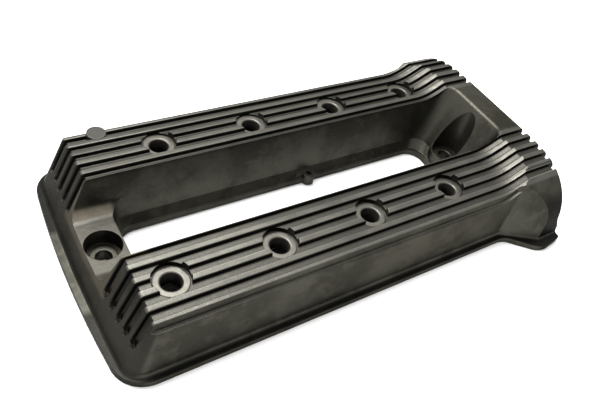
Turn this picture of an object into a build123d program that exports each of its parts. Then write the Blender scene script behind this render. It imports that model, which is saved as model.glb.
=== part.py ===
"""Valve cover of a twin-cam engine: one aluminium casting.

X runs along the camshafts, from the low rear end (-X) to the tall chain end (+X).
Y runs across, Z is up, and the gasket face is z = 0. The origin is at the middle
of the gasket face's bounding box. "Station" is a distance from the rear edge.
"""
from build123d import *
from math import cos, hypot, radians, sin, sqrt, tan
import os

# ---- overall ----
length = 457.5
ear_half_width = 141.5
flange_half_width = 115.0
flange_thickness = 6.0
wall = 4.5

# ---- banks: the two long hollow roofs over the camshafts ----
bank_spacing = 137.6
bank_half_width_in = 36.8
bank_half_width_out = 40.6
inner_draft = 8.1
outer_draft = 7.3
roof_height = 59.4
roof_fall_in = 2.9
roof_fall_out = 7.6
rear_slope = 23.3
rear_crest_station = 31.0
rear_crest_radius = 4.0
rear_corner_radius_low = 17.0
rear_corner_radius_high = 6.0
shoulder_drop = 7.5
shoulder_width = 3.0

# ---- chain end ----
plateau_height = 73.0
drum_radius = 60.0
drum_draft = 10.0
drum_front_radius = 7.0
crest_setback = 35.5
ramp_slope = 28.4
ramp_foot_radius = 50.0
crest_radius = 4.0
front_edge_radius = 4.5
facet_drop = 12.5
facet_top_setback = 46.0
facet_wall_setback = 64.0
facet_side_setback = 26.0
facet_blend = 8.0
valley_crest_setback = 30.0
valley_wall_slope = 25.5
valley_corner_radius = 14.0

# ---- grooves between the ribs ----
groove_count = 5
rib_pitch = 11.97
groove_floor = 5.6
groove_depth = 3.8
groove_draft = 8.0
groove_root_radius = 0.9
rib_edge_radius = 1.7
groove_end_height = 28.5
groove_exit_angle = 45.0

# ---- cover bolts ----
bolt_count = 4
bolt_pitch = 92.0
near_bolt_station = 57.5
far_bolt_offset = 47.0
bolt_hole_radius = 8.2
bolt_lip_radius = 1.6
seat_ring_radius = 13.9
seat_groove_depth = 0.6
counterbore_radius = 15.0
seat_height = 52.6
bolt_boss_wall = 2.5
bolt_boss_depth = 14.0

# ---- valley window and bridges ----
window_half_width = 26.7
window_rear_station = 50.0
window_front_setback = 68.0
window_corner_radius = 16.0
rear_bridge_height = 27.2
rear_bridge_front_station = 47.7
rear_bridge_blend = 12.0
rear_bridge_draft = 4.0
rear_bridge_corner = 14.0
skirt_rise = 8.0
rear_bolt_station = 31.2
rear_pocket_radius = 15.2
rear_pocket_floor = 11.0
front_bolt_setback = 48.0
front_pocket_radius = 15.0
front_pocket_wall = 2.6
front_pocket_rim_height = 18.0
front_pocket_floor = 12.0
front_pocket_lip = 1.5
end_seat_radius = 11.5
end_seat_rise = 1.2
end_bolt_hole_radius = 6.4

# ---- flange outline ----
rear_bow = 4.0
rear_flange_corner = 27.0
ear_start_setback = 61.0
ear_blend_radius = 20.0
ear_tip_setback = 30.5
ear_tip_radius = 22.0
ear_front_chamfer = 3.5
ear_corner_radius = 4.0
foot_fillet = 3.0

# ---- small cast features ----
pad_radius = 8.2
pad_station = 58.5
pad_offset = 26.7
pad_rise = 1.4
lug_station = 248.0
lug_radius = 6.5
lug_height = 11.0
lug_hole_radius = 2.6
lug_overhang = 2.0
lug_web_length = 14.0
lug_web_thickness = 3.0

# ---- worked out from the sizes above ----
rear_x = -length / 2
front_x = length / 2
bank_y = bank_spacing / 2
drum_z = plateau_height - drum_radius
crest_x = front_x - crest_setback
rear_crest_x = rear_x + rear_crest_station
window_rear_x = rear_x + window_rear_station
window_front_x = front_x - window_front_setback
rear_bolt_x = rear_x + rear_bolt_station
front_bolt_x = front_x - front_bolt_setback
inner_wall_y = bank_y - bank_half_width_in
roof_wall = wall + groove_depth
reach = 2 * plateau_height


def lean(angle):
    """Sideways travel for each millimetre of height, for a wall at this draft."""
    return tan(radians(angle))


def roof(u):
    """Rib-top height at a distance u outward from a bank's centreline."""
    fall = roof_fall_out if u > 0 else roof_fall_in
    return roof_height - u * lean(fall)


def solid_xz(points, radii, y, depth):
    """Prism of an XZ outline, from y to y + depth."""
    with BuildPart() as prism:
        with BuildSketch(Plane.XZ.offset(-y - depth)):
            with BuildLine():
                FilletPolyline(*points, radius=radii, close=True)
            make_face()
        extrude(amount=depth)
    return prism.part


def solid_yz(points, x, depth):
    """Prism of a YZ outline, from x to x + depth."""
    with BuildPart() as prism:
        with BuildSketch(Plane.YZ.offset(x)):
            with BuildLine():
                Polyline(*points, close=True)
            make_face()
        extrude(amount=depth)
    return prism.part


def side_outline(u, inset):
    """Corner points, in XZ, of the roof line over a bank at the offset u."""
    top = roof(u) - inset
    plateau = plateau_height - inset
    slope = inset / cos(radians(rear_slope))
    toe = rear_crest_x + slope - inset * lean(rear_slope)
    ramp_x = crest_x - (plateau - top) / lean(ramp_slope) + inset
    return [
        (toe - roof(u) * lean(rear_slope) + inset * lean(rear_slope), 0),
        (toe, top),
        (ramp_x, top),
        (crest_x + inset, plateau),
        (front_x - inset, plateau),
        (front_x - inset, 0),
    ]


def roof_envelope(inset):
    """Everything under the roof line of a bank, as a loft across the bank."""
    with BuildPart() as envelope:
        for u in (-bank_y, 0, ear_half_width - bank_y):
            with BuildSketch(Plane.XZ.offset(-bank_y - u)):
                with BuildLine():
                    FilletPolyline(
                        *side_outline(u, inset),
                        radius=[0, rear_crest_radius, ramp_foot_radius, crest_radius, front_edge_radius, 0],
                        close=True,
                    )
                make_face()
        loft(ruled=True)
    return envelope.part


def bank_prism(inset, step):
    """Drafted walls of one bank, open-topped, with the outer one set in by a step."""
    floor_in = bank_y - bank_half_width_in + inset / cos(radians(inner_draft))
    floor_out = bank_y + bank_half_width_out - step - inset / cos(radians(outer_draft))
    outline = [
        (floor_in, 0),
        (floor_out, 0),
        (floor_out - reach * lean(outer_draft), reach),
        (floor_in + reach * lean(inner_draft), reach),
    ]
    return solid_yz(outline, rear_x - reach, length + reach - inset)


def bank_walls(inset):
    """One bank up to any height, with the lower shoulder outside its last rib."""
    lowered = Pos(-shoulder_drop * lean(rear_slope), 0, -shoulder_drop) * roof_envelope(inset)
    return bank_prism(inset, shoulder_width) + (bank_prism(inset, 0) & lowered)


def drum_edge(z, inset=0):
    """Half-width of the chain-end section at a height: a round shoulder, then a drafted side."""
    radius = drum_radius - inset
    turn = radians(drum_draft)
    side_top = drum_z + radius * sin(turn)
    if z > side_top:
        return bank_y + sqrt(radius**2 - (z - drum_z) ** 2)
    return bank_y + radius * cos(turn) + (side_top - z) * tan(turn)


def dome(inset, start_y, start_x):
    """Chain-end section: level over the bank, round over the sprocket, drafted to the flange."""
    with BuildPart() as block:
        with BuildSketch(Plane.YZ.offset(start_x)):
            with BuildLine():
                crown = Line((start_y, plateau_height - inset), (bank_y, plateau_height - inset))
                side = CenterArc((bank_y, drum_z), drum_radius - inset, drum_draft, 90 - drum_draft)
                Polyline(side @ 0, (drum_edge(0, inset), 0), (start_y, 0), crown @ 0)
            make_face()
        extrude(amount=front_x - inset - start_x)
    return block.part


def drum_block(inset):
    """Sprocket housing at the outer corner, with its slanted shoulder facet."""
    top_z = plateau_height - facet_drop
    low_z = 2 * flange_thickness
    wall_y = bank_y + bank_half_width_out - low_z * lean(outer_draft)
    top = Vector(front_x - facet_top_setback, drum_edge(top_z), top_z)
    low_in = Vector(front_x - facet_wall_setback, wall_y, low_z)
    low_out = Vector(front_x - facet_side_setback, drum_edge(low_z), low_z)
    facet = (low_out - top).cross(low_in - top).normalized()
    if facet.X > 0:
        facet = -facet
    with BuildPart() as behind:
        with BuildSketch(Plane(origin=top - facet * inset, z_dir=facet)):
            Rectangle(6 * reach, 6 * reach)
        extrude(amount=4 * reach)
    return dome(inset, bank_y - rib_pitch, rear_x) - behind.part


def bank_form(inset, saddle=None):
    """One bank with its chain-end housing, shrunk by the inset on every outer face."""
    walls = (bank_walls(inset) & dome(inset, 0, rear_x - reach)) + drum_block(inset)
    if saddle:
        walls = walls + saddle
    return walls & roof_envelope(inset)


def valley_form(inset):
    """The open space of the valley between the two bridges, with rounded corners."""
    with BuildPart() as space:
        for z in (-wall, plateau_height + wall):
            with BuildSketch(Plane.XY.offset(z)):
                with BuildLine():
                    valley_outline(z, inset)
                make_face()
        loft(ruled=True)
    return space.part


def front_bridge(inset):
    """Level bridge between the banks at the chain end, down to the valley window."""
    back = front_x - valley_crest_setback - plateau_height * lean(valley_wall_slope) - valley_corner_radius
    top = plateau_height - inset
    outline = [(back, 0), (back, top), (front_x - inset, top), (front_x - inset, 0)]
    block = solid_xz(outline, [0, 0, front_edge_radius, 0], -bank_y, bank_spacing)
    block = block & (dome(0, -bank_y, rear_x) + mirror(dome(0, -bank_y, rear_x), about=Plane.XZ))
    shape = block - valley_form(inset)
    roof_edges = shape.edges().filter_by_position(Axis.Z, top - 0.1, top + 0.1)
    crest = roof_edges.filter_by_position(Axis.Y, -inner_wall_y - wall, inner_wall_y + wall)
    shape = fillet(crest.filter_by_position(Axis.X, back + 1, front_x - 2 * front_edge_radius), crest_radius)
    return shape & both_sides(roof_envelope(inset))


def rear_saddle():
    """Half of the low rear bridge, blended up into the bank's inner wall."""
    high = rear_bridge_height + rear_bridge_blend
    wall_y = inner_wall_y + rear_bridge_height * lean(inner_draft)
    high_y = wall_y + rear_bridge_blend * lean(inner_draft)
    with BuildPart() as saddle:
        with BuildSketch(Plane.YZ.offset(rear_x)):
            with BuildLine():
                FilletPolyline(
                    (0, 0),
                    (0, rear_bridge_height),
                    (wall_y, rear_bridge_height),
                    (high_y, high),
                    (bank_y, high),
                    (bank_y, 0),
                    radius=[0, 0, rear_bridge_blend, 0, 0, 0],
                    close=True,
                )
            make_face()
        extrude(amount=rear_bridge_front_station + 2 * rear_bridge_corner)
    return saddle.part - valley_form(0)


def rear_corner_tool():
    """What is cut from the outer rear corner of a bank to round it."""
    u = bank_half_width_out - rear_corner_radius_low - 0.5
    with BuildPart() as tool:
        for z, radius in ((0, rear_corner_radius_low), (roof_height, rear_corner_radius_high)):
            x = rear_crest_x - (roof(u) - z) * lean(rear_slope)
            y = bank_y + bank_half_width_out - z * lean(outer_draft)
            with BuildSketch(Plane.XY.offset(z)):
                with BuildLine():
                    arc = CenterArc((x + radius, y - radius), radius, 90, 90)
                    Polyline(arc @ 1, (x - reach, y - radius), (x - reach, y + reach), (x + radius, y + reach), arc @ 0)
                make_face()
        loft(ruled=True)
    return tool.part


def bank_cavity():
    """Hollow inside both banks and under the sides of the rear bridge."""
    banks = (bank_walls(wall) & dome(roof_wall, 0, rear_x - reach)) + drum_block(roof_wall)
    banks = banks & roof_envelope(roof_wall)
    banks = banks - Pos(roof_wall, -wall, 0) * rear_corner_tool()
    high = rear_bridge_height - wall
    toe = rear_crest_x - roof(0) * lean(rear_slope) + roof_wall
    front = rear_x + rear_bridge_front_station - wall
    outline = [(toe, 0), (toe + high * lean(rear_slope), high), (front, high), (front + 2, 0)]
    return both_sides(banks + solid_xz(outline, [0, wall / 2, wall / 2, 0], 0, bank_y))


def front_round_tool():
    """What is cut from the drum's front rim to round it; it fades out at both ends of the arc."""
    near = front_x - drum_front_radius
    far = front_x + drum_front_radius
    high = drum_radius + drum_front_radius
    fade = Vector(0.4 * drum_front_radius, 0, 0)
    low_turn = radians(drum_draft)
    side = Plane(origin=(0, bank_y, drum_z), x_dir=(1, 0, 0), z_dir=(0, -sin(low_turn), cos(low_turn)))
    top = Plane(origin=(0, bank_y, drum_z), x_dir=(1, 0, 0), z_dir=(0, -1, 0))
    drop = (drum_z + drum_radius * sin(low_turn) - flange_thickness - foot_fillet) / cos(low_turn)
    ends = ((side, -side.z_dir * drop + side.y_dir * fade.X), (top, top.z_dir * 2 * drop + top.y_dir * fade.X))
    with BuildPart() as tool:
        for plane, way in ends:
            with BuildSketch(plane) as corner:
                with BuildLine():
                    rim = CenterArc((near, drum_radius - drum_front_radius), drum_front_radius, 0, 90)
                    Polyline(rim @ 1, (near, high), (far, high), (far, drum_radius - drum_front_radius), rim @ 0)
                make_face()
            extrude(corner.sketch, amount=(way + fade).length, dir=way + fade)
        revolve(corner.sketch, axis=Axis((0, bank_y, drum_z), (1, 0, 0)), revolution_arc=drum_draft - 90)
    return tool.part


def valley_outline(z, grow):
    """Rounded outline of the valley's open space at a height, grown outwards."""
    back = rear_x + rear_bridge_front_station + (rear_bridge_height - z) * lean(rear_bridge_draft) - grow
    front = front_x - valley_crest_setback - (plateau_height - z) * lean(valley_wall_slope) + grow
    half = bank_y - bank_half_width_in + z * lean(inner_draft) + grow
    return FilletPolyline(
        (back, -half),
        (front, -half),
        (front, half),
        (back, half),
        radius=[rear_bridge_corner, valley_corner_radius, valley_corner_radius, rear_bridge_corner],
        close=True,
    )


def skirt():
    """Sloping skirt round the valley, from the foot of its walls down to the window."""
    low = flange_thickness / 2
    top = flange_thickness + skirt_rise
    with BuildPart() as block:
        for z in (low, top):
            with BuildSketch(Plane.XY.offset(z)):
                with BuildLine():
                    valley_outline(z, 0.1 * wall)
                make_face()
        loft(ruled=True)
    with BuildPart() as funnel:
        with BuildSketch(Plane.XY.offset(low)):
            with BuildLine():
                FilletPolyline(
                    (window_rear_x, -window_half_width),
                    (window_front_x, -window_half_width),
                    (window_front_x, window_half_width),
                    (window_rear_x, window_half_width),
                    radius=window_corner_radius,
                    close=True,
                )
            make_face()
        with BuildSketch(Plane.XY.offset(top)):
            with BuildLine():
                valley_outline(top, 0)
            make_face()
        loft(ruled=True)
    return block.part - funnel.part


def flange_plate(thickness):
    """Gasket flange: bowed rear edge, straight sides, flared ears at the chain end."""
    side = flange_half_width
    ear_x = front_x - ear_start_setback
    with BuildPart() as plate:
        with BuildSketch():
            with BuildLine():
                FilletPolyline(
                    (rear_x + rear_bow, 0),
                    (rear_x + rear_bow, side),
                    (ear_x, side),
                    (front_x - ear_tip_setback, ear_half_width + 1.2),
                    (front_x, ear_half_width - ear_front_chamfer),
                    (front_x, 0),
                    radius=[rear_flange_corner, ear_blend_radius, ear_tip_radius, ear_corner_radius],
                )
                Line((front_x, 0), (rear_x + rear_bow, 0))
            make_face()
            mirror(about=Plane.XZ)
            bow_end = side - rear_flange_corner
            with BuildLine():
                bow = ThreePointArc((rear_x + rear_bow, -bow_end), (rear_x, 0), (rear_x + rear_bow, bow_end))
                Line(bow @ 0, bow @ 1)
            make_face()
        extrude(amount=thickness)
    return plate.part


def cylinder_at(x, y, radius, low, high):
    """Upright round bar between two heights."""
    return Pos(x, y, (low + high) / 2) * Cylinder(radius, high - low)


def front_round(u):
    """Radius of the chain end's front edge at a distance u outward from a bank's centreline."""
    return drum_front_radius if u > 0 else front_edge_radius


def groove_path(u):
    """Corner points, in XZ, of the line a groove follows over the bank and out over the front edge."""
    level = roof(u)
    crown = drum_z + sqrt(drum_radius**2 - max(u, 0) ** 2)
    turn_x = front_x - front_round(u) * (1 - lean(groove_exit_angle / 2))
    exit_x = front_x + 2 * groove_depth
    return [
        (rear_crest_x - (level - groove_end_height) * lean(rear_slope), groove_end_height),
        (rear_crest_x, level),
        (crest_x - (plateau_height - level) / lean(ramp_slope), level),
        (crest_x - (plateau_height - crown) / lean(ramp_slope), crown),
        (turn_x, crown),
        (exit_x, crown - (exit_x - turn_x) * lean(groove_exit_angle)),
    ]


def groove_cutter(u):
    """Tool for one groove: drafted walls, rounded roots, rounded rib edges and end."""
    y = bank_y + u
    points = [(x, y, z) for x, z in groove_path(u)]
    low = groove_floor / 2
    top = low + groove_depth * lean(groove_draft)
    flare = top + 1.3 * rib_edge_radius
    roof_tilt = roof_fall_out if u > 0 else roof_fall_in
    with BuildPart() as cutter:
        with BuildLine():
            corners = [rear_crest_radius, ramp_foot_radius, crest_radius, front_round(u)]
            route = FilletPolyline(*points, radius=corners)
        start = Plane(origin=route @ 0, x_dir=(0, 1, 0), z_dir=route % 0)
        with BuildSketch(start.rotated((0, 0, -roof_tilt))) as section:
            with BuildLine():
                FilletPolyline(
                    (-low, -groove_depth),
                    (low, -groove_depth),
                    (top, 0),
                    (flare, 0.25),
                    (flare, groove_depth),
                    (-flare, groove_depth),
                    (-flare, 0.25),
                    (-top, 0),
                    radius=[groove_root_radius, groove_root_radius, rib_edge_radius, 0, 0, 0, 0, rib_edge_radius],
                    close=True,
                )
            make_face()
        sweep(path=route)
    slope_plane = Plane(origin=route @ 0, z_dir=start.y_dir)
    tip = slope_plane * Pos(0, 0, -groove_depth / 2) * Cone(low, top, groove_depth)
    return cutter.part + tip


def both_sides(shape):
    """The shape and its mirror image across the valley."""
    return shape + mirror(shape, about=Plane.XZ)


def valley_window():
    """Opening between the banks, with rounded corners."""
    middle = (window_rear_x + window_front_x) / 2
    opening = RectangleRounded(window_front_x - window_rear_x, 2 * window_half_width, window_corner_radius)
    return Pos(middle, 0, 0) * extrude(opening, amount=flange_thickness)


def bolt_rows():
    """Bolt positions of both banks; the far row stands half a pitch further forward."""
    rows = []
    for side, offset in ((-1, 0), (1, far_bolt_offset)):
        for i in range(bolt_count):
            rows.append((rear_x + near_bolt_station + offset + i * bolt_pitch, side * bank_y))
    return rows


def bolt_tool():
    """Cutter for a cover bolt: counterbore, dished seat margin, hole with a rounded lip."""
    with BuildPart() as tool:
        with BuildSketch(Plane.XZ):
            with BuildLine():
                FilletPolyline(
                    (0, -seat_height),
                    (bolt_hole_radius, -seat_height),
                    (bolt_hole_radius, 0),
                    (seat_ring_radius, 0),
                    (seat_ring_radius, -seat_groove_depth),
                    (counterbore_radius, -seat_groove_depth),
                    (counterbore_radius, reach),
                    (0, reach),
                    radius=[0, 0, bolt_lip_radius, 0, 0, 0, 0, 0],
                    close=True,
                )
            make_face()
        revolve(axis=Axis.Z)
    return Pos(0, 0, seat_height) * tool.part


def end_bolt_tool(pocket_radius, floor):
    """Cutter for an end bolt: deep pocket around a raised seat ring, and its hole."""
    with BuildPart() as tool:
        with BuildSketch(Plane.XZ):
            with BuildLine():
                FilletPolyline(
                    (0, -reach),
                    (end_bolt_hole_radius, -reach),
                    (end_bolt_hole_radius, end_seat_rise),
                    (end_seat_radius, end_seat_rise),
                    (end_seat_radius, 0),
                    (pocket_radius, 0),
                    (pocket_radius, reach),
                    (0, reach),
                    radius=[0, 0, 1.2, 0.8, 0, 0, 0, 0],
                    close=True,
                )
            make_face()
        revolve(axis=Axis.Z)
    return Pos(0, 0, floor) * tool.part


def crease_edges(shape):
    """Slanted inner corners where the shoulder facets meet the outer walls."""
    lines = shape.edges().filter_by(GeomType.LINE)
    lines = lines.filter_by_position(Axis.X, front_x - facet_wall_setback, front_x - facet_top_setback)
    tall = [line for line in lines if line.bounding_box().size.Z > 2 * flange_thickness]
    return [line for line in tall if abs(line.center().Y) > bank_y + bank_half_width_out / 2]


def foot_edges(shape):
    """Edges where the outer walls meet the flange."""
    level = shape.edges().filter_by_position(Axis.Z, flange_thickness - 0.01, flange_thickness + 0.01)
    ledges = shape.faces().filter_by_position(Axis.Z, flange_thickness - 0.01, flange_thickness + 0.01)
    rim = ledges.edges()
    walls = shape.faces().filter_by(lambda face: face.bounding_box().max.Z > flange_thickness + 1)
    foot = []
    for edge in level:
        touches_ledge = any(edge.is_same(other) for other in rim)
        touches_wall = any(edge.is_same(other) for face in walls for other in face.edges())
        outside = abs(edge.center().Y) > inner_wall_y + 2 or edge.center().X < window_rear_x - 2
        if touches_ledge and touches_wall and outside:
            foot.append(edge)
    return foot


def pocket_lip(shape):
    """Edge where the front bolt pocket breaks out of the valley's sloping end wall."""
    lip = []
    for edge in shape.edges().filter_by_position(Axis.Z, front_pocket_rim_height, plateau_height):
        points = (edge @ 0, edge @ 0.5, edge @ 1)
        if all(abs(hypot(point.X - front_bolt_x, point.Y) - front_pocket_radius) < 0.1 for point in points):
            lip.append(edge)
    return lip


# ---- outer form ----
bank = bank_form(0, rear_saddle()) - rear_corner_tool()
body = (both_sides(bank) + front_bridge(0)) & flange_plate(reach)
flange = flange_plate(flange_thickness) - valley_window()
front_boss = cylinder_at(front_bolt_x, 0, front_pocket_radius + front_pocket_wall, 0, front_pocket_rim_height)
casting = body + flange + front_boss
casting = fillet(crease_edges(casting), facet_blend)
casting = fillet(foot_edges(casting), foot_fillet)
casting = casting - both_sides(front_round_tool()) + skirt()

# ---- lug in the valley ----
lug_x = rear_x + lug_station
lug_y = window_half_width - lug_overhang + lug_radius / 2
web = Box(lug_web_length, lug_web_thickness, lug_height)
casting = casting + cylinder_at(lug_x, lug_y, lug_radius, 0, lug_height)
casting = casting + Pos(lug_x - lug_web_length / 2, lug_y + lug_radius / 2, lug_height / 2) * web
casting = casting - cylinder_at(lug_x, lug_y, lug_hole_radius, 0, lug_height)

# ---- grooves between the ribs, and the round pad over the outermost ones ----
for i in range(groove_count):
    groove = groove_cutter((i - (groove_count - 1) / 2) * rib_pitch)
    casting = casting - groove
    casting = casting - mirror(groove, about=Plane.XZ)
pad_top = roof(pad_offset) + pad_rise
casting = casting + cylinder_at(rear_x + pad_station, bank_y + pad_offset, pad_radius, roof_height / 2, pad_top)

# ---- underside: hollow banks and chain chamber, with bosses left around the bolts ----
inside = bank_cavity() + front_bridge(roof_wall)
rear_column = cylinder_at(rear_bolt_x, 0, rear_pocket_radius + wall, 0, reach)
front_column = cylinder_at(front_bolt_x, 0, front_pocket_radius + front_pocket_wall, 0, reach)
inside = inside - rear_column - front_column
for x, y in bolt_rows():
    inside = inside - cylinder_at(x, y, counterbore_radius + bolt_boss_wall, seat_height - bolt_boss_depth, reach)
casting = casting - inside

# ---- bolt holes, seats and counterbores ----
for x, y in bolt_rows():
    casting = casting - Pos(x, y, 0) * bolt_tool()
casting = casting - Pos(rear_bolt_x, 0, 0) * end_bolt_tool(rear_pocket_radius, rear_pocket_floor)
casting = casting - Pos(front_bolt_x, 0, 0) * end_bolt_tool(front_pocket_radius, front_pocket_floor)
casting = fillet(pocket_lip(casting), front_pocket_lip)

os.makedirs("parts", exist_ok=True)
export_step(casting, "parts/valve_cover.step")
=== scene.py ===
# %% [markdown]
# # An engine valve cover
#
# The real object is one aluminium casting: two long hollow banks with ribs on
# their roofs, an open window between them, and a taller chain end. Its shape
# comes finished from the CAD frame, so nothing of it is modelled here. What is
# left to make is old cast aluminium: oil and dust stains, painted shade, pale
# machined and rubbed places, painted highlights and a slight roughness all over.

import bpy
from mathutils import Matrix, Vector

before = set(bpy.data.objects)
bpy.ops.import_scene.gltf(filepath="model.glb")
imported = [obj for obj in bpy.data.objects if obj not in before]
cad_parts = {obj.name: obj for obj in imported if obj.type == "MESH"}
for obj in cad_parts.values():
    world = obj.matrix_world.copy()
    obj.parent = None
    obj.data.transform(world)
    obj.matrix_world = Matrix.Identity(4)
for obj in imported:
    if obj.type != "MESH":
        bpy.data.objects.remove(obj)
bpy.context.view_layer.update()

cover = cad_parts["valve_cover"]

# %% [markdown]
# ## Where the camera stands
#
# A camera can be aimed with a Track To constraint, or by a rotation matrix.
# The matrix is used here because the view is rolled a few degrees, which a
# constraint doesn't give. Its columns are the view's right, up and back
# directions, written in the cover's own axes.

# %% Camera
PICTURE_WIDTH_PX = 600
FOCAL_PX = 622.03
SENSOR_MM = 36.0
VIEW_RIGHT = Vector((0.83739, -0.50716, 0.20389))
VIEW_DOWN = Vector((-0.25159, -0.68876, -0.67994))
EYE = Vector((-0.29692, -0.30866, 0.42876))


def aim_camera(eye, right, down, focal_px):
    """Camera at eye whose view runs right and down along the two directions.

    Down loses its share along right, which makes the two square to each other.
    The lens is the focal length in pixels x sensor / picture width.
    """
    right = right.normalized()
    down = (down - right * right.dot(down)).normalized()
    data = bpy.data.cameras.new("studio_camera")
    data.sensor_width = SENSOR_MM
    data.lens = focal_px * SENSOR_MM / PICTURE_WIDTH_PX
    camera = bpy.data.objects.new("studio_camera", data)
    turn = Matrix((right, -down, -right.cross(down))).transposed()
    camera.matrix_world = Matrix.Translation(eye) @ turn.to_4x4()
    bpy.context.scene.collection.objects.link(camera)
    return camera


camera = aim_camera(EYE, VIEW_RIGHT, VIEW_DOWN, FOCAL_PX)
bpy.context.scene.camera = camera
print("lens", round(camera.data.lens, 2), "mm")

# %% [markdown]
# ## Begin the cast aluminium
#
# A worn finish can be painted on an image, or worked out from where a point is
# on the piece. The casting's sizes are known, so the second way is used: each
# stain and bright spot is a short formula in the object's own coordinates, and
# nothing has to be unwrapped or painted. The formula is drawn as nodes.

# %% Begin the material
finish = bpy.data.materials.new("cast_aluminium")
finish.use_nodes = True
tree = finish.node_tree
metal_shader = tree.nodes["Principled BSDF"]
print("material", finish.name, "starts with", len(tree.nodes), "nodes")

# %% [markdown]
# ## Where a point is, and which way it faces
#
# Object coordinates stay with the piece when it moves. They are in metres, and
# the sizes of a casting are easier to read in millimetres, so they are scaled
# once here. The surface's own direction tells a roof from a wall.

# %% Place and tilt
MM_PER_METRE = 1000.0


def plug(tree, socket, value):
    """Joins a socket to another, or sets it to a plain number or colour."""
    if isinstance(value, bpy.types.NodeSocket):
        tree.links.new(value, socket)
    else:
        socket.default_value = value


def in_millimetres(tree, place):
    """A place in metres x 1000."""
    node = tree.nodes.new("ShaderNodeVectorMath")
    node.operation = "SCALE"
    plug(tree, node.inputs[0], place)
    node.inputs["Scale"].default_value = MM_PER_METRE
    return node.outputs[0]


def three_numbers(tree, vector):
    """The x, y and z of a vector, each as a number."""
    node = tree.nodes.new("ShaderNodeSeparateXYZ")
    plug(tree, node.inputs[0], vector)
    return node.outputs


place = in_millimetres(tree, tree.nodes.new("ShaderNodeTexCoord").outputs["Object"])
x, y, z = three_numbers(tree, place)
surface = tree.nodes.new("ShaderNodeNewGeometry")
tilt_x, tilt_y, tilt_z = three_numbers(tree, surface.outputs["Normal"])
print("place and tilt:", len(tree.nodes), "nodes so far")

# %% [markdown]
# ## Ribs and grooves
#
# Five grooves, evenly spaced, run along the roof of each bank. A texture could
# repeat them, but then it would have to be lined up with the real ones. Here
# the distance from the nearest groove comes from the same spacing that the
# casting has, so the wear always falls on a rib and the dust in a groove.

# %% Arithmetic and soft steps
def calc(tree, operation, *values, clamp=False):
    """One arithmetic step on numbers or sockets."""
    node = tree.nodes.new("ShaderNodeMath")
    node.operation = operation
    node.use_clamp = clamp
    for socket, value in zip(node.inputs, values):
        plug(tree, socket, value)
    return node.outputs[0]


def absolute(tree, value):
    """The number without its sign."""
    return calc(tree, "ABSOLUTE", value)


def nearest(tree, value, pitch, first, last):
    """Place of the nearest of several equal steps.

    It is the value / pitch, rounded, kept from the first to the last step, x pitch.
    """
    step = calc(tree, "ROUND", calc(tree, "DIVIDE", value, pitch))
    step = calc(tree, "MINIMUM", calc(tree, "MAXIMUM", step, first), last)
    return calc(tree, "MULTIPLY", step, pitch)


def soft_step(tree, value, start, end):
    """0 before the start, 1 past the end, and a smooth climb between; it may run downwards."""
    node = tree.nodes.new("ShaderNodeMapRange")
    node.interpolation_type = "SMOOTHSTEP"
    for name, number in (("Value", value), ("From Min", start), ("From Max", end)):
        plug(tree, node.inputs[name], number)
    return node.outputs["Result"]


print("helpers for numbers are ready")

# %% Ribs, grooves and roof, in millimetres
BANK_Y = 68.8
RIB_PITCH = 11.97
GROOVE_HALF = 2.95
GROOVES_EACH_SIDE = 2
RIB_EDGE_INSIDE = 0.2
RIB_EDGE_OUTSIDE = 0.5
RIB_EDGE = (GROOVE_HALF - RIB_EDGE_INSIDE, GROOVE_HALF + RIB_EDGE_OUTSIDE)
ROOF_HEIGHT = (27.0, 33.0)
LEVEL_TILT = (0.55, 0.85)

across = calc(tree, "SUBTRACT", absolute(tree, y), BANK_Y)
groove_axis = nearest(tree, across, RIB_PITCH, -GROOVES_EACH_SIDE, GROOVES_EACH_SIDE)
off_groove = absolute(tree, calc(tree, "SUBTRACT", across, groove_axis))
on_rib = soft_step(tree, off_groove, *RIB_EDGE)
high = soft_step(tree, z, *ROOF_HEIGHT)
level = soft_step(tree, tilt_z, *LEVEL_TILT)
print("grooves on a bank:", 2 * GROOVES_EACH_SIDE + 1, "and", len(tree.nodes), "nodes so far")

# %% [markdown]
# ## Bolt seats
#
# Four bolts go down through each bank, and each has a flat ring that a cutter
# faced for its washer. The two rows don't start at the same place, so the row's
# start depends on the bank. The distance from the nearest bolt then marks the
# ring, and a band of height keeps the mark out of the bore below it.

# %% Bolt seats, in millimetres
BOLT_PITCH = 92.0
LAST_BOLT = 3
NEAR_ROW_X = -171.25
FAR_ROW_X = -124.25
SEAT_Z = 52.6
SEAT_EDGE = (14.9, 14.2)
CLEAR_OF_SEAT = 0.6
TOUCHING_SEAT = 0.2
SEAT_TOP = (SEAT_Z + CLEAR_OF_SEAT, SEAT_Z + TOUCHING_SEAT)
SEAT_BOTTOM = (40.0, 50.0)


def product(tree, *values):
    """All the masks multiplied together."""
    result = values[0]
    for value in values[1:]:
        result = calc(tree, "MULTIPLY", result, value)
    return result


def length_of(tree, a, b):
    """Distance in a plane: the root of a x a + b x b."""
    squares = calc(tree, "ADD", product(tree, a, a), product(tree, b, b))
    return calc(tree, "SQRT", squares)


far_side = calc(tree, "GREATER_THAN", y, 0.0)
row_start = calc(tree, "ADD", NEAR_ROW_X, calc(tree, "MULTIPLY", far_side, FAR_ROW_X - NEAR_ROW_X))
along = calc(tree, "SUBTRACT", x, row_start)
past_bolt = calc(tree, "SUBTRACT", along, nearest(tree, along, BOLT_PITCH, 0, LAST_BOLT))
from_bolt = length_of(tree, past_bolt, across)
on_seat = product(
    tree,
    soft_step(tree, from_bolt, *SEAT_EDGE),
    soft_step(tree, z, *SEAT_TOP),
    soft_step(tree, z, *SEAT_BOTTOM),
)
print("bolts in a row:", LAST_BOLT + 1, "and", len(tree.nodes), "nodes so far")
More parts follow.
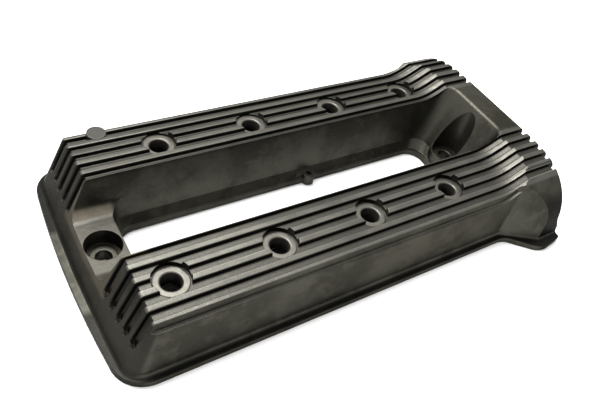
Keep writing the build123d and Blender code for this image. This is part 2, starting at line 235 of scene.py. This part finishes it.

# %% [markdown]
# ## Which way a face looks
#
# Painted shade, painted highlights and rubbed places all follow which way a
# face looks. Four masks sort the faces: walls along the banks, the faces at
# the rear end, flat tops, and the rounded turns between a top and a wall.

# %% Direction masks
SIDE_TILT = (0.45, 0.8)
REAR_TILT = (-0.2, -0.5)
REAR_END_X = (-150.0, -170.0)
UPWARD_TILT = (0.75, 0.95)
TURN_STARTS = (0.3, 0.6)
TURN_ENDS = (0.97, 0.85)

sideways = soft_step(tree, absolute(tree, tilt_y), *SIDE_TILT)
rearward = product(tree, soft_step(tree, tilt_x, *REAR_TILT), soft_step(tree, x, *REAR_END_X))
upward = soft_step(tree, tilt_z, *UPWARD_TILT)
turning = product(tree, soft_step(tree, tilt_z, *TURN_STARTS), soft_step(tree, tilt_z, *TURN_ENDS))
print("direction masks: sideways, rearward, upward, turning")

# %% [markdown]
# ## Bare metal
#
# Old cast aluminium isn't one grey. Large clouds of lighter and darker pewter
# lie under olive blotches of burnt oil, with fine pale specks over them. Three
# noise patterns of different size give that. A fourth is pulled out along the
# banks, because ribs are rubbed lengthwise.

# %% Colour and noise helpers
MIX_FACTOR = 0
MIX_FIRST = 6
MIX_SECOND = 7
MIX_COLOUR = 2


def portion(tree, mask, share):
    """A mask weakened to a share of its strength."""
    return calc(tree, "MULTIPLY", mask, share)


def mix(tree, factor, first, second):
    """The first colour turning into the second as the factor goes from 0 to 1."""
    node = tree.nodes.new("ShaderNodeMix")
    node.data_type = "RGBA"
    plug(tree, node.inputs[MIX_FACTOR], factor)
    plug(tree, node.inputs[MIX_FIRST], first)
    plug(tree, node.inputs[MIX_SECOND], second)
    return node.outputs[MIX_COLOUR]


def noise(tree, place, scale, detail, roughness, stretch=(1, 1, 1)):
    """Cloudy pattern from 0 to 1; the scale is in waves for each millimetre."""
    mapping = tree.nodes.new("ShaderNodeMapping")
    plug(tree, mapping.inputs["Vector"], place)
    mapping.inputs["Scale"].default_value = stretch
    node = tree.nodes.new("ShaderNodeTexNoise")
    plug(tree, node.inputs["Vector"], mapping.outputs[0])
    for name, number in (("Scale", scale), ("Detail", detail), ("Roughness", roughness)):
        node.inputs[name].default_value = number
    return node.outputs["Fac"]


print("helpers for colour and noise are ready")

# %% Bare metal, each colour as red, green, blue and opacity
PEWTER_DARK = (0.026, 0.0252, 0.0203, 1)
PEWTER_LIGHT = (0.048, 0.0465, 0.038, 1)
OLIVE_BLOTCH = (0.055, 0.052, 0.04, 1)
PALE_SPECK = (0.095, 0.093, 0.084, 1)
CLOUD_EDGE = (0.38, 0.62)
BLOTCH_EDGE = (0.48, 0.68)
SPECK_EDGE = (0.55, 0.75)
BLOTCH_SHARE = 0.6
SPECK_SHARE = 0.3
ALONG_THE_BANKS = (0.08, 1.0, 1.0)

clouds = noise(tree, place, scale=0.018, detail=4.0, roughness=0.6)
blotches = noise(tree, place, scale=0.09, detail=5.0, roughness=0.62)
specks = noise(tree, place, scale=0.9, detail=3.0, roughness=0.6)
streaks = noise(tree, place, scale=0.35, detail=3.0, roughness=0.6, stretch=ALONG_THE_BANKS)
on_blotch = portion(tree, soft_step(tree, blotches, *BLOTCH_EDGE), BLOTCH_SHARE)
on_speck = portion(tree, soft_step(tree, specks, *SPECK_EDGE), SPECK_SHARE)
metal = mix(tree, soft_step(tree, clouds, *CLOUD_EDGE), PEWTER_DARK, PEWTER_LIGHT)
metal = mix(tree, on_blotch, metal, OLIVE_BLOTCH)
metal = mix(tree, on_speck, metal, PALE_SPECK)
print("bare metal:", len(tree.nodes), "nodes so far")

# %% [markdown]
# ## Painted shade
#
# The rear faces, the top of the flange and the sides of the round housing at
# the chain end are darkened with painted shade. The three places overlap, so
# the strongest of them counts, and they aren't added up.

# %% Painted shade
PAINTED_SHADE = (0.005, 0.005, 0.0045, 1)
FLANGE_HEIGHT = (9.0, 6.0)
OUTSIDE_VALLEY_Y = (38.0, 46.0)
DRUM_X = (188.0, 204.0)
DRUM_TILT = (0.75, 0.5)
DRUM_AHEAD = (-0.45, -0.2)
REAR_SHADE = 0.65
FLANGE_SHADE = 0.85
DRUM_SHADE = 0.85

on_flange = product(
    tree,
    soft_step(tree, z, *FLANGE_HEIGHT),
    upward,
    soft_step(tree, absolute(tree, y), *OUTSIDE_VALLEY_Y),
)
at_drum = product(
    tree,
    soft_step(tree, x, *DRUM_X),
    soft_step(tree, tilt_z, *DRUM_TILT),
    soft_step(tree, tilt_x, *DRUM_AHEAD),
)
# Painted shade: rear faces, the flange top and the drum sides are darkened towards near black.
painted_shade = calc(tree, "MAXIMUM", portion(tree, rearward, REAR_SHADE), portion(tree, on_flange, FLANGE_SHADE))
painted_shade = calc(tree, "MAXIMUM", painted_shade, portion(tree, at_drum, DRUM_SHADE))
metal = mix(tree, painted_shade, metal, PAINTED_SHADE)
print("soot:", len(tree.nodes), "nodes so far")

# %% [markdown]
# ## Roofs of the banks
#
# Grooves have a dusty grey floor, and their walls are blackened with painted
# shade. Rib tops are rubbed bare and grow brighter towards their edges, partly
# from wear where a hand or a cloth touches first and partly as a painted
# highlight. The lengthwise streaks break it up.

# %% Grooves
GROOVE_FLOOR = (0.052, 0.05, 0.0435, 1)
GROOVE_WALL_SHADE = (0.003, 0.003, 0.0028, 1)
RIBBED_WIDTH = (34.0, 31.5)
WALL_SHADE_WIDTH = (29.0, 27.5)
FLOOR_SHARE = 0.7
WALL_SHADE_SHARE = 0.85

off_bank = absolute(tree, across)
over_ribs = product(tree, soft_step(tree, off_bank, *RIBBED_WIDTH), high)
in_groove = product(tree, calc(tree, "SUBTRACT", 1.0, on_rib), over_ribs, level)
on_groove_wall = product(tree, sideways, soft_step(tree, off_bank, *WALL_SHADE_WIDTH), high)
metal = mix(tree, portion(tree, in_groove, FLOOR_SHARE), metal, GROOVE_FLOOR)
print("groove floors:", len(tree.nodes), "nodes so far")

# %% Rib tops with wear and a painted highlight, then painted shade on the groove walls
RIB_WEAR_AND_HIGHLIGHT = (0.205, 0.197, 0.178, 1)
RIB_CREST_HIGHLIGHT = (4.6, 3.4)
WEAR_EVERYWHERE = 0.25
WEAR_IN_STREAKS = 0.9
RUB_EVERYWHERE = 0.35
HIGHLIGHT_AT_CREST = 0.65


def base_plus(tree, base, mask, share, clamp=False):
    """The base plus a share of the mask."""
    return calc(tree, "ADD", base, portion(tree, mask, share), clamp=clamp)


worn = base_plus(tree, WEAR_EVERYWHERE, streaks, WEAR_IN_STREAKS, clamp=True)
crest_highlight = soft_step(tree, off_groove, *RIB_CREST_HIGHLIGHT)
rub_and_highlight = base_plus(tree, RUB_EVERYWHERE, crest_highlight, HIGHLIGHT_AT_CREST)
# Rib tops: rubbed wear plus a painted highlight that grows towards each rib's edge.
metal = mix(tree, product(tree, on_rib, over_ribs, level, worn, rub_and_highlight), metal, RIB_WEAR_AND_HIGHLIGHT)
# Painted shade: the sideways groove walls on the roofs are darkened to near black.
metal = mix(tree, portion(tree, on_groove_wall, WALL_SHADE_SHARE), metal, GROOVE_WALL_SHADE)
print("rib tops and groove walls:", len(tree.nodes), "nodes so far")

# %% [markdown]
# ## Rear bridge
#
# The low bridge at the rear joins the two banks. Its flat top is a little
# lighter, as hands have rubbed it bare, and a pale beige painted highlight
# lies where the bridge curves up into the walls.

# %% Rear bridge
HANDLED = (0.052, 0.049, 0.042, 1)
FILLET_HIGHLIGHT = (0.15, 0.13, 0.1, 1)
BRIDGE_X = (-176.0, -182.0)
BRIDGE_HALF_WIDTH = (47.0, 44.0)
BRIDGE_HEIGHT = (20.0, 25.0)
HANDLED_EVERYWHERE = 0.5
HANDLED_IN_BLOTCHES = 0.6
HIGHLIGHT_EVERYWHERE = 0.3
HIGHLIGHT_IN_BLOTCHES = 1.0

on_bridge = product(
    tree,
    soft_step(tree, x, *BRIDGE_X),
    soft_step(tree, absolute(tree, y), *BRIDGE_HALF_WIDTH),
    soft_step(tree, z, *BRIDGE_HEIGHT),
)
handled = base_plus(tree, HANDLED_EVERYWHERE, blotches, HANDLED_IN_BLOTCHES)
turn_highlight = base_plus(tree, HIGHLIGHT_EVERYWHERE, blotches, HIGHLIGHT_IN_BLOTCHES)
metal = mix(tree, product(tree, on_bridge, upward, handled), metal, HANDLED)
# Painted highlight: a bright beige band on the rounded turns where the bridge meets the walls.
metal = mix(tree, product(tree, on_bridge, turning, turn_highlight), metal, FILLET_HIGHLIGHT)
print("rear bridge:", len(tree.nodes), "nodes so far")

# %% [markdown]
# ## Pad and bolt seats
#
# The round pad near the rear end is evenly grey. The bolt seats are cut flat
# after casting, so they are pale and even, with an oily ring towards their rim.
# Both are found by their distance from a centre, which gives a true circle.

# %% Pad and bolt seats
PAD = (0.058, 0.056, 0.050, 1)
SEAT = (0.105, 0.1, 0.087, 1)
PAD_CENTRE = (-170.25, 95.5, 57.0)
PAD_EDGE = (9.4, 8.6)
OIL_RING = (12.6, 13.4)
OIL_SHARE = 0.7


def distance_from(tree, place, centre):
    """Straight distance between a place and a fixed centre."""
    node = tree.nodes.new("ShaderNodeVectorMath")
    node.operation = "DISTANCE"
    plug(tree, node.inputs[0], place)
    node.inputs[1].default_value = centre
    return node.outputs["Value"]


on_pad = soft_step(tree, distance_from(tree, place, PAD_CENTRE), *PAD_EDGE)
on_ring = product(tree, on_seat, soft_step(tree, from_bolt, *OIL_RING))
metal = mix(tree, on_pad, metal, PAD)
metal = mix(tree, on_seat, metal, SEAT)
metal = mix(tree, portion(tree, on_ring, OIL_SHARE), metal, OLIVE_BLOTCH)
plug(tree, metal_shader.inputs["Base Color"], metal)
print("colour is done:", len(tree.nodes), "nodes so far")

# %% [markdown]
# ## Gloss
#
# Dirty aluminium reflects less at a grazing angle than clean metal does. The
# shader's Specular Tint sets that edge colour for a metal, so a grey there keeps
# the walls dark, and no node has to know where the camera is. Blotches of oil
# are a little rougher than the metal around them.

# %% Gloss
METAL_SHARE = 0.85
EDGE_TINT = (0.4, 0.39, 0.37, 1)
SMOOTHEST = 0.30
ROUGHER_IN_BLOTCHES = 0.2

metal_shader.inputs["Metallic"].default_value = METAL_SHARE
metal_shader.inputs["Specular Tint"].default_value = EDGE_TINT
rough = base_plus(tree, SMOOTHEST, blotches, ROUGHER_IN_BLOTCHES)
plug(tree, metal_shader.inputs["Roughness"], rough)
print("roughness", SMOOTHEST, "to", round(SMOOTHEST + ROUGHER_IN_BLOTCHES, 2))

# %% [markdown]
# ## Sand grain and soft edges
#
# A casting has a fine grain and no knife edges. The grain is far too small
# to model, so it is bump: a fine noise with a coarser one over it. The Bevel
# node bends the light round each edge, which leaves the mesh as it is.

# %% Sand grain and soft edges
EDGE_RADIUS_M = 0.0009
EDGE_SAMPLES = 6
GRAIN_DEPTH_M = 0.0003
GRAIN_STRENGTH = 0.35
FINE_GRAIN = 1.3
COARSE_GRAIN = 0.25
COARSE_SHARE = 1.5

soft_edge = tree.nodes.new("ShaderNodeBevel")
soft_edge.samples = EDGE_SAMPLES
soft_edge.inputs["Radius"].default_value = EDGE_RADIUS_M
bump = tree.nodes.new("ShaderNodeBump")
bump.inputs["Strength"].default_value = GRAIN_STRENGTH
bump.inputs["Distance"].default_value = GRAIN_DEPTH_M
fine = noise(tree, place, scale=FINE_GRAIN, detail=3.0, roughness=0.6)
coarse = noise(tree, place, scale=COARSE_GRAIN, detail=3.0, roughness=0.6)
plug(tree, bump.inputs["Height"], base_plus(tree, fine, coarse, COARSE_SHARE))
plug(tree, bump.inputs["Normal"], soft_edge.outputs[0])
plug(tree, metal_shader.inputs["Normal"], bump.outputs[0])
print("finish is done:", len(tree.nodes), "nodes and", len(tree.links), "links")

# %% [markdown]
# ## Put the finish on the casting
#
# A piece has slots, and each slot holds a material. The casting is one piece of
# metal, so one material goes into its slots, and the masks tell the places
# apart.

# %% Put the finish on the casting
for slot in cover.material_slots:
    slot.material = finish

print("slots on the casting:", [slot.material.name for slot in cover.material_slots])

# %% [markdown]
# ## Studio floor
#
# The casting lies on a pale sheet. The sheet is half a millimetre below the
# gasket face, so that the two don't share a plane and flicker.

# %% Studio floor
FLOOR_SIZE = 12.0
FLOOR_DROP = 0.0005
FLOOR_WHITE = (0.9, 0.9, 0.9, 1)
FLOOR_ROUGHNESS = 0.9


def studio_floor(size, drop):
    """Square sheet a little below the gasket face: corners at plus and minus half its size."""
    half = size / 2
    mesh = bpy.data.meshes.new("studio_floor")
    corners = [(-half, -half, -drop), (half, -half, -drop), (half, half, -drop), (-half, half, -drop)]
    mesh.from_pydata(corners, [], [(0, 1, 2, 3)])
    floor = bpy.data.objects.new("studio_floor", mesh)
    bpy.context.scene.collection.objects.link(floor)
    paint = bpy.data.materials.new("studio_floor")
    paint.use_nodes = True
    paint_shader = paint.node_tree.nodes["Principled BSDF"]
    paint_shader.inputs["Base Color"].default_value = FLOOR_WHITE
    paint_shader.inputs["Roughness"].default_value = FLOOR_ROUGHNESS
    mesh.materials.append(paint)
    return floor


floor = studio_floor(FLOOR_SIZE, FLOOR_DROP)
print("floor:", floor.name, FLOOR_SIZE, "m square")

# %% [markdown]
# ## Studio light
#
# Dark metal shows only what it reflects, so most of the light is an even white
# sky. Two soft lamps, high up beyond the far bank, brighten the ribs and the
# ramp at the chain end.

# %% Studio light
SKY_WHITE = (1, 1, 1, 1)
SKY_STRENGTH = 1.35
TOP_LAMP = {"place": (-0.5, 0.6, 1.3), "target": (-0.05, 0, 0), "size": 0.6, "power": 24.0}
RAMP_LAMP = {"place": (0.08, 0.42, 1.3), "target": (0.15, 0, 0.06), "size": 0.4, "power": 16.0}


def studio_sky(colour, strength):
    """Even light from every side."""
    sky = bpy.data.worlds.new("studio_sky")
    bpy.context.scene.world = sky
    sky.use_nodes = True
    glow = sky.node_tree.nodes["Background"]
    glow.inputs["Color"].default_value = colour
    glow.inputs["Strength"].default_value = strength
    return sky


def soft_lamp(name, place, target, size, power):
    """Square area lamp that looks at the target."""
    data = bpy.data.lights.new(name, "AREA")
    data.size = size
    data.energy = power
    lamp = bpy.data.objects.new(name, data)
    lamp.location = place
    lamp.rotation_euler = (Vector(target) - Vector(place)).to_track_quat("-Z", "Y").to_euler()
    bpy.context.scene.collection.objects.link(lamp)
    return lamp


sky = studio_sky(SKY_WHITE, SKY_STRENGTH)
lamps = [soft_lamp("top_lamp", **TOP_LAMP), soft_lamp("ramp_lamp", **RAMP_LAMP)]
bpy.context.scene.view_settings.view_transform = "Standard"
print("light:", sky.name, [lamp.name for lamp in lamps])
